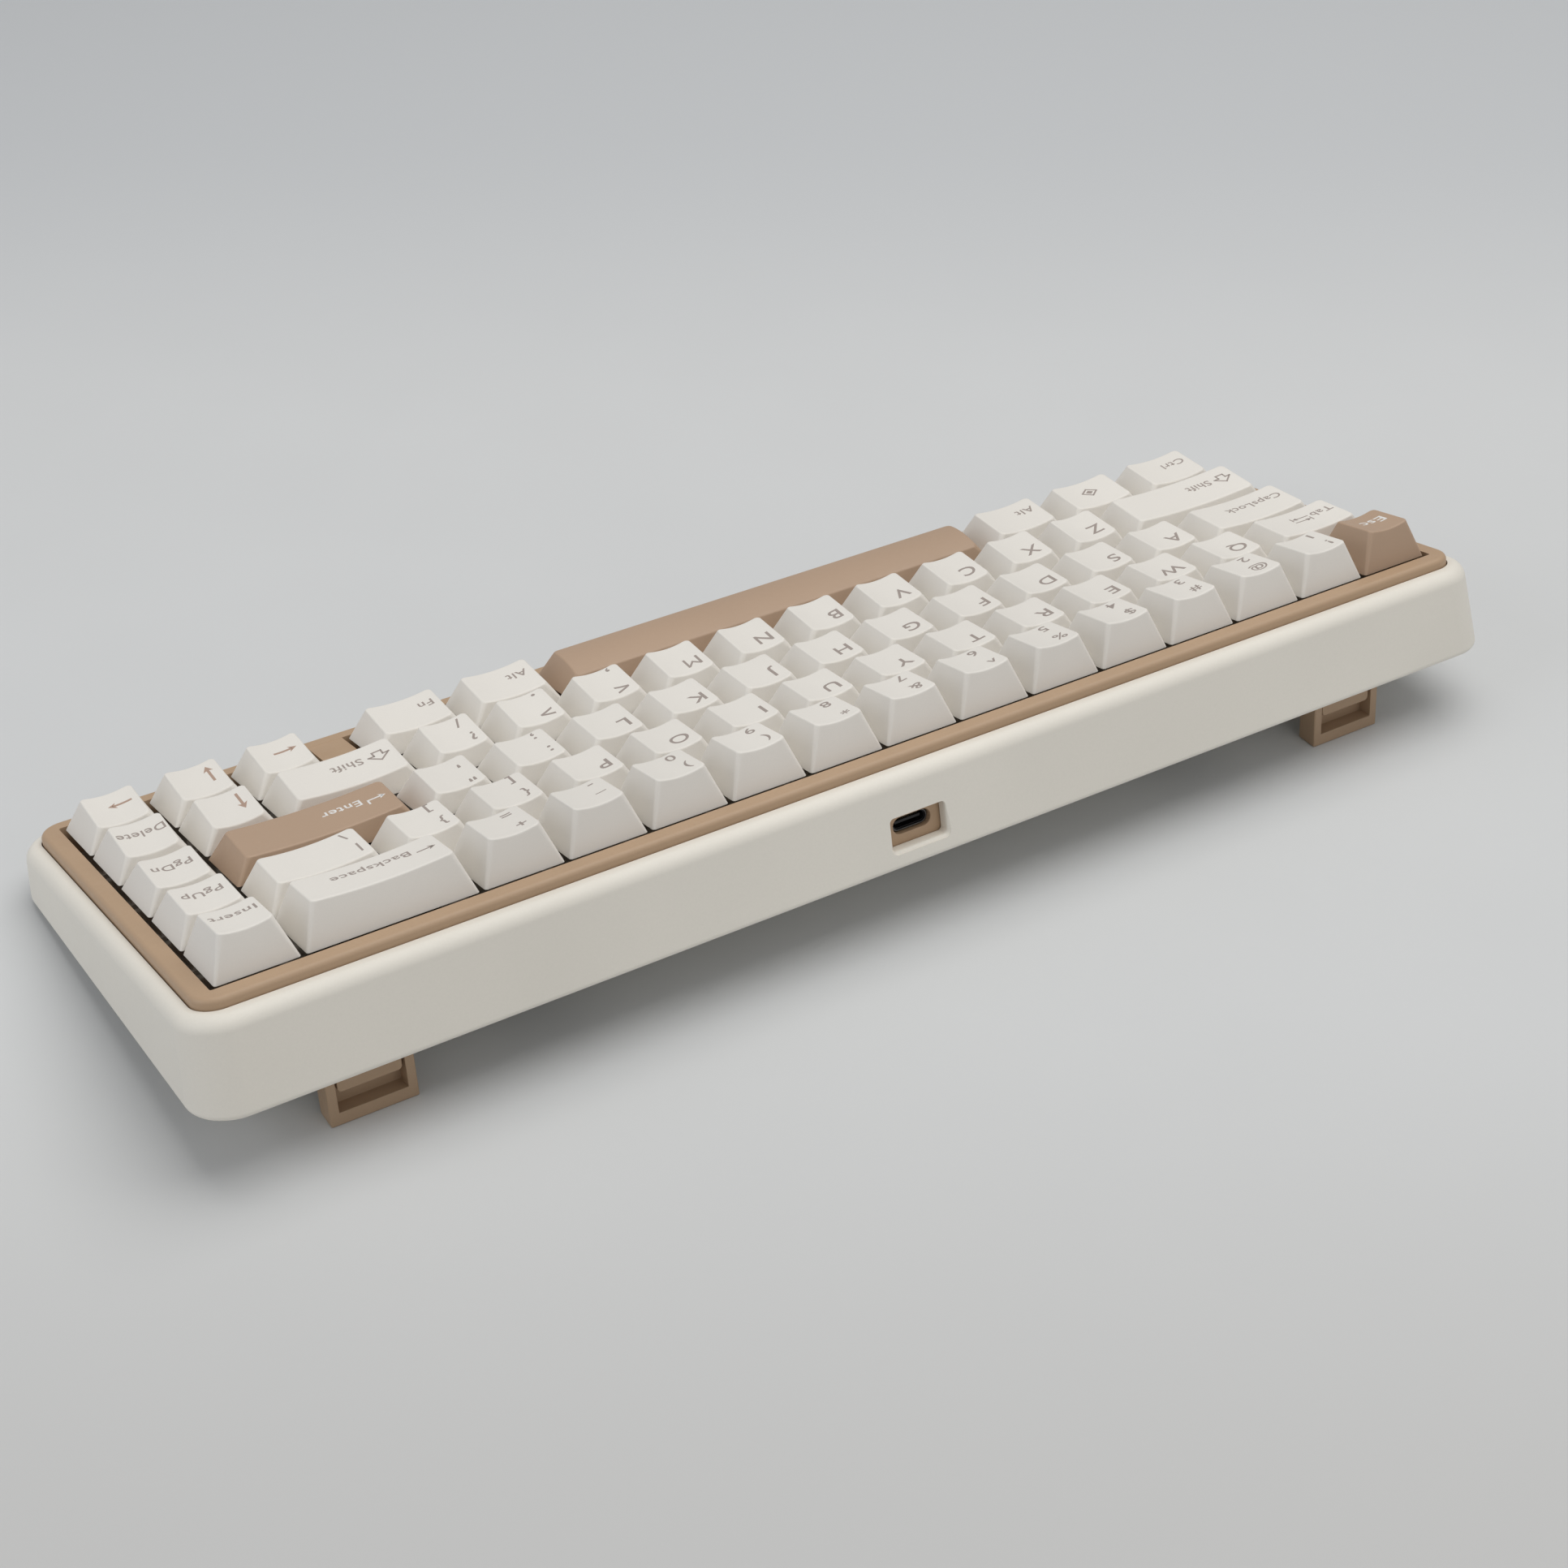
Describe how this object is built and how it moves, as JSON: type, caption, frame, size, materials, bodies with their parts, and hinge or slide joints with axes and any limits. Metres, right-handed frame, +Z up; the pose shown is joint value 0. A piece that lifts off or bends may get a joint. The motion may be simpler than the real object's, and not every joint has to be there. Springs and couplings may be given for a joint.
{
  "type": "mechanical keyboard",
  "caption": "Compact wedge-shaped mechanical keyboard with sprung keys, a raised inner rim, two-stage folding tilt feet and a rear USB-C inlet.",
  "frame": {"origin": "middle of the footprint at desk height, with the large tilt feet folded out", "axes": "+X from the Esc end to the Insert end, +Y from the space bar to the rear wall, +Z up from the desk"},
  "size_m": [0.3252, 0.1156, 0.0464],
  "materials": {
    "case_white": "fine matt moulded ABS, warm white",
    "frame_tan": "fine matt moulded ABS, tan",
    "plate_dark": "satin dark grey plate and black switch housings",
    "board": "solder mask",
    "silicone": "matt silicone sheet",
    "steel": "drawn steel shell",
    "steel_wire": "polished spring wire",
    "rubber": "matt black rubber",
    "feet_tan": "fine matt moulded ABS, tan",
    "caps_ivory": "fine grained PBT, ivory with brown-grey legends",
    "caps_tan": "fine grained PBT, tan with white legends"
  },
  "bodies": {
    "case": {"outer_case": "case_white", "inner_frame": "frame_tan", "port_surround": "frame_tan", "switch_plate": "plate_dark", "circuit_board": "board", "sound_pad": "silicone", "usb_c_port": "steel", "front_left_pad": "rubber", "front_right_pad": "rubber", "rear_left_pad": "rubber", "rear_right_pad": "rubber"},
    "key_left_ctrl": {"key_left_ctrl": "caps_ivory"},
    "key_super": {"key_super": "caps_ivory"},
    "key_left_alt": {"key_left_alt": "caps_ivory"},
    "key_space": {"key_space": "caps_tan"},
    "key_right_alt": {"key_right_alt": "caps_ivory"},
    "key_fn": {"key_fn": "caps_ivory"},
    "key_left": {"key_left": "caps_ivory"},
    "key_down": {"key_down": "caps_ivory"},
    "key_right": {"key_right": "caps_ivory"},
    "key_left_shift": {"key_left_shift": "caps_ivory"},
    "keys_z_x": {"keys_z_x": "caps_ivory"},
    "keys_c_v": {"keys_c_v": "caps_ivory"},
    "keys_b_n": {"keys_b_n": "caps_ivory"},
    "keys_m_comma": {"keys_m_comma": "caps_ivory"},
    "keys_period_slash": {"keys_period_slash": "caps_ivory"},
    "key_right_shift": {"key_right_shift": "caps_ivory"},
    "key_up": {"key_up": "caps_ivory"},
    "key_delete": {"key_delete": "caps_ivory"},
    "key_caps_lock": {"key_caps_lock": "caps_ivory"},
    "keys_a_s_d": {"keys_a_s_d": "caps_ivory"},
    "keys_f_g": {"keys_f_g": "caps_ivory"},
    "keys_h_j": {"keys_h_j": "caps_ivory"},
    "keys_k_l": {"keys_k_l": "caps_ivory"},
    "keys_semicolon_quote": {"keys_semicolon_quote": "caps_ivory"},
    "key_enter": {"key_enter": "caps_tan"},
    "key_page_down": {"key_page_down": "caps_ivory"},
    "key_tab": {"key_tab": "caps_ivory"},
    "keys_q_w_e": {"keys_q_w_e": "caps_ivory"},
    "keys_r_t_y": {"keys_r_t_y": "caps_ivory"},
    "keys_u_i": {"keys_u_i": "caps_ivory"},
    "keys_o_p": {"keys_o_p": "caps_ivory"},
    "keys_brackets": {"keys_brackets": "caps_ivory"},
    "key_backslash": {"key_backslash": "caps_ivory"},
    "key_page_up": {"key_page_up": "caps_ivory"},
    "key_esc": {"key_esc": "caps_tan"},
    "keys_1_2_3": {"keys_1_2_3": "caps_ivory"},
    "keys_4_5_6": {"keys_4_5_6": "caps_ivory"},
    "keys_7_8_9": {"keys_7_8_9": "caps_ivory"},
    "keys_0_minus_equals": {"keys_0_minus_equals": "caps_ivory"},
    "key_backspace": {"key_backspace": "caps_ivory"},
    "key_insert": {"key_insert": "caps_ivory"},
    "left_large_foot": {"left_large_foot": "feet_tan"},
    "left_small_foot": {"left_small_foot": "feet_tan"},
    "right_large_foot": {"right_large_foot": "feet_tan"},
    "right_small_foot": {"right_small_foot": "feet_tan"},
    "space_stabiliser_wire": {"space_stabiliser_wire": "steel_wire"},
    "left_shift_stabiliser_wire": {"left_shift_stabiliser_wire": "steel_wire"},
    "enter_stabiliser_wire": {"enter_stabiliser_wire": "steel_wire"},
    "backspace_stabiliser_wire": {"backspace_stabiliser_wire": "steel_wire"}
  },
  "joints": [
    {"name": "left_large_foot_fold", "type": "hinge", "parent": "case", "child": "left_large_foot", "pos_m": [-0.1258, 0.04718, 0.01745], "axis": [-1, 0, 0], "range_deg": [0, 87.5]},
    {"name": "left_small_foot_swing", "type": "hinge", "parent": "left_large_foot", "child": "left_small_foot", "pos_m": [-0.1258, 0.04781, 0.0145], "axis": [1, 0, 0], "range_deg": [0, 75]},
    {"name": "right_large_foot_fold", "type": "hinge", "parent": "case", "child": "right_large_foot", "pos_m": [0.1258, 0.04718, 0.01745], "axis": [-1, 0, 0], "range_deg": [0, 87.5]},
    {"name": "right_small_foot_swing", "type": "hinge", "parent": "right_large_foot", "child": "right_small_foot", "pos_m": [0.1258, 0.04781, 0.0145], "axis": [1, 0, 0], "range_deg": [0, 75]},
    {"name": "key_space_press", "type": "slide", "parent": "case", "child": "key_space", "axis": [0, 0.2215, -0.9751], "range_m": [0, 0.004], "stiffness_N_per_m": 90, "springref_m": -0.004},
    {"name": "key_enter_press", "type": "slide", "parent": "case", "child": "key_enter", "axis": [0, 0.2215, -0.9751], "range_m": [0, 0.004], "stiffness_N_per_m": 75, "springref_m": -0.004},
    {"name": "key_esc_press", "type": "slide", "parent": "case", "child": "key_esc", "axis": [0, 0.2215, -0.9751], "range_m": [0, 0.004], "stiffness_N_per_m": 75, "springref_m": -0.004},
    {"name": "key_backspace_press", "type": "slide", "parent": "case", "child": "key_backspace", "axis": [0, 0.2215, -0.9751], "range_m": [0, 0.004], "stiffness_N_per_m": 75, "springref_m": -0.004},
    {"name": "key_left_shift_press", "type": "slide", "parent": "case", "child": "key_left_shift", "axis": [0, 0.2215, -0.9751], "range_m": [0, 0.004], "stiffness_N_per_m": 75, "springref_m": -0.004},
    {"name": "keys_q_w_e_press", "type": "slide", "parent": "case", "child": "keys_q_w_e", "axis": [0, 0.2215, -0.9751], "range_m": [0, 0.004], "stiffness_N_per_m": 225, "springref_m": -0.004},
    {"name": "key_left_ctrl_press", "type": "slide", "parent": "case", "child": "key_left_ctrl", "axis": [0, 0.2215, -0.9751], "range_m": [0, 0.004], "stiffness_N_per_m": 75, "springref_m": -0.004},
    {"name": "key_super_press", "type": "slide", "parent": "case", "child": "key_super", "axis": [0, 0.2215, -0.9751], "range_m": [0, 0.004], "stiffness_N_per_m": 75, "springref_m": -0.004},
    {"name": "key_left_alt_press", "type": "slide", "parent": "case", "child": "key_left_alt", "axis": [0, 0.2215, -0.9751], "range_m": [0, 0.004], "stiffness_N_per_m": 75, "springref_m": -0.004},
    {"name": "key_right_alt_press", "type": "slide", "parent": "case", "child": "key_right_alt", "axis": [0, 0.2215, -0.9751], "range_m": [0, 0.004], "stiffness_N_per_m": 75, "springref_m": -0.004},
    {"name": "key_fn_press", "type": "slide", "parent": "case", "child": "key_fn", "axis": [0, 0.2215, -0.9751], "range_m": [0, 0.004], "stiffness_N_per_m": 75, "springref_m": -0.004},
    {"name": "key_left_press", "type": "slide", "parent": "case", "child": "key_left", "axis": [0, 0.2215, -0.9751], "range_m": [0, 0.004], "stiffness_N_per_m": 75, "springref_m": -0.004},
    {"name": "key_down_press", "type": "slide", "parent": "case", "child": "key_down", "axis": [0, 0.2215, -0.9751], "range_m": [0, 0.004], "stiffness_N_per_m": 75, "springref_m": -0.004},
    {"name": "key_right_press", "type": "slide", "parent": "case", "child": "key_right", "axis": [0, 0.2215, -0.9751], "range_m": [0, 0.004], "stiffness_N_per_m": 75, "springref_m": -0.004},
    {"name": "keys_z_x_press", "type": "slide", "parent": "case", "child": "keys_z_x", "axis": [0, 0.2215, -0.9751], "range_m": [0, 0.004], "stiffness_N_per_m": 150, "springref_m": -0.004},
    {"name": "keys_c_v_press", "type": "slide", "parent": "case", "child": "keys_c_v", "axis": [0, 0.2215, -0.9751], "range_m": [0, 0.004], "stiffness_N_per_m": 150, "springref_m": -0.004},
    {"name": "keys_b_n_press", "type": "slide", "parent": "case", "child": "keys_b_n", "axis": [0, 0.2215, -0.9751], "range_m": [0, 0.004], "stiffness_N_per_m": 150, "springref_m": -0.004},
    {"name": "keys_m_comma_press", "type": "slide", "parent": "case", "child": "keys_m_comma", "axis": [0, 0.2215, -0.9751], "range_m": [0, 0.004], "stiffness_N_per_m": 150, "springref_m": -0.004},
    {"name": "keys_period_slash_press", "type": "slide", "parent": "case", "child": "keys_period_slash", "axis": [0, 0.2215, -0.9751], "range_m": [0, 0.004], "stiffness_N_per_m": 150, "springref_m": -0.004},
    {"name": "key_right_shift_press", "type": "slide", "parent": "case", "child": "key_right_shift", "axis": [0, 0.2215, -0.9751], "range_m": [0, 0.004], "stiffness_N_per_m": 75, "springref_m": -0.004},
    {"name": "key_up_press", "type": "slide", "parent": "case", "child": "key_up", "axis": [0, 0.2215, -0.9751], "range_m": [0, 0.004], "stiffness_N_per_m": 75, "springref_m": -0.004},
    {"name": "key_delete_press", "type": "slide", "parent": "case", "child": "key_delete", "axis": [0, 0.2215, -0.9751], "range_m": [0, 0.004], "stiffness_N_per_m": 75, "springref_m": -0.004},
    {"name": "key_caps_lock_press", "type": "slide", "parent": "case", "child": "key_caps_lock", "axis": [0, 0.2215, -0.9751], "range_m": [0, 0.004], "stiffness_N_per_m": 75, "springref_m": -0.004},
    {"name": "keys_a_s_d_press", "type": "slide", "parent": "case", "child": "keys_a_s_d", "axis": [0, 0.2215, -0.9751], "range_m": [0, 0.004], "stiffness_N_per_m": 225, "springref_m": -0.004},
    {"name": "keys_f_g_press", "type": "slide", "parent": "case", "child": "keys_f_g", "axis": [0, 0.2215, -0.9751], "range_m": [0, 0.004], "stiffness_N_per_m": 150, "springref_m": -0.004},
    {"name": "keys_h_j_press", "type": "slide", "parent": "case", "child": "keys_h_j", "axis": [0, 0.2215, -0.9751], "range_m": [0, 0.004], "stiffness_N_per_m": 150, "springref_m": -0.004},
    {"name": "keys_k_l_press", "type": "slide", "parent": "case", "child": "keys_k_l", "axis": [0, 0.2215, -0.9751], "range_m": [0, 0.004], "stiffness_N_per_m": 150, "springref_m": -0.004},
    {"name": "keys_semicolon_quote_press", "type": "slide", "parent": "case", "child": "keys_semicolon_quote", "axis": [0, 0.2215, -0.9751], "range_m": [0, 0.004], "stiffness_N_per_m": 150, "springref_m": -0.004},
    {"name": "key_page_down_press", "type": "slide", "parent": "case", "child": "key_page_down", "axis": [0, 0.2215, -0.9751], "range_m": [0, 0.004], "stiffness_N_per_m": 75, "springref_m": -0.004},
    {"name": "key_tab_press", "type": "slide", "parent": "case", "child": "key_tab", "axis": [0, 0.2215, -0.9751], "range_m": [0, 0.004], "stiffness_N_per_m": 75, "springref_m": -0.004},
    {"name": "keys_r_t_y_press", "type": "slide", "parent": "case", "child": "keys_r_t_y", "axis": [0, 0.2215, -0.9751], "range_m": [0, 0.004], "stiffness_N_per_m": 225, "springref_m": -0.004},
    {"name": "keys_u_i_press", "type": "slide", "parent": "case", "child": "keys_u_i", "axis": [0, 0.2215, -0.9751], "range_m": [0, 0.004], "stiffness_N_per_m": 150, "springref_m": -0.004},
    {"name": "keys_o_p_press", "type": "slide", "parent": "case", "child": "keys_o_p", "axis": [0, 0.2215, -0.9751], "range_m": [0, 0.004], "stiffness_N_per_m": 150, "springref_m": -0.004},
    {"name": "keys_brackets_press", "type": "slide", "parent": "case", "child": "keys_brackets", "axis": [0, 0.2215, -0.9751], "range_m": [0, 0.004], "stiffness_N_per_m": 150, "springref_m": -0.004},
    {"name": "key_backslash_press", "type": "slide", "parent": "case", "child": "key_backslash", "axis": [0, 0.2215, -0.9751], "range_m": [0, 0.004], "stiffness_N_per_m": 75, "springref_m": -0.004},
    {"name": "key_page_up_press", "type": "slide", "parent": "case", "child": "key_page_up", "axis": [0, 0.2215, -0.9751], "range_m": [0, 0.004], "stiffness_N_per_m": 75, "springref_m": -0.004},
    {"name": "keys_1_2_3_press", "type": "slide", "parent": "case", "child": "keys_1_2_3", "axis": [0, 0.2215, -0.9751], "range_m": [0, 0.004], "stiffness_N_per_m": 225, "springref_m": -0.004},
    {"name": "keys_4_5_6_press", "type": "slide", "parent": "case", "child": "keys_4_5_6", "axis": [0, 0.2215, -0.9751], "range_m": [0, 0.004], "stiffness_N_per_m": 225, "springref_m": -0.004},
    {"name": "keys_7_8_9_press", "type": "slide", "parent": "case", "child": "keys_7_8_9", "axis": [0, 0.2215, -0.9751], "range_m": [0, 0.004], "stiffness_N_per_m": 225, "springref_m": -0.004},
    {"name": "keys_0_minus_equals_press", "type": "slide", "parent": "case", "child": "keys_0_minus_equals", "axis": [0, 0.2215, -0.9751], "range_m": [0, 0.004], "stiffness_N_per_m": 225, "springref_m": -0.004},
    {"name": "key_insert_press", "type": "slide", "parent": "case", "child": "key_insert", "axis": [0, 0.2215, -0.9751], "range_m": [0, 0.004], "stiffness_N_per_m": 75, "springref_m": -0.004},
    {"name": "space_stabiliser_wire_turn", "type": "hinge", "parent": "case", "child": "space_stabiliser_wire", "pos_m": [-0.02143, -0.04789, 0.01093], "axis": [-1, 0, 0], "range_deg": [0, 26]},
    {"name": "left_shift_stabiliser_wire_turn", "type": "hinge", "parent": "case", "child": "left_shift_stabiliser_wire", "pos_m": [-0.13097, -0.02931, 0.01515], "axis": [-1, 0, 0], "range_deg": [0, 26]},
    {"name": "enter_stabiliser_wire_turn", "type": "hinge", "parent": "case", "child": "enter_stabiliser_wire", "pos_m": [0.11192, -0.01073, 0.01937], "axis": [-1, 0, 0], "range_deg": [0, 26]},
    {"name": "backspace_stabiliser_wire_turn", "type": "hinge", "parent": "case", "child": "backspace_stabiliser_wire", "pos_m": [0.1143, 0.02642, 0.02781], "axis": [-1, 0, 0], "range_deg": [0, 26]}
  ],
  "couplings": [
    {"joint": "space_stabiliser_wire_turn", "follows": "key_space_press", "rad_per_m": 112.05},
    {"joint": "left_shift_stabiliser_wire_turn", "follows": "key_left_shift_press", "rad_per_m": 112.05},
    {"joint": "enter_stabiliser_wire_turn", "follows": "key_enter_press", "rad_per_m": 112.05},
    {"joint": "backspace_stabiliser_wire_turn", "follows": "key_backspace_press", "rad_per_m": 112.05}
  ]
}
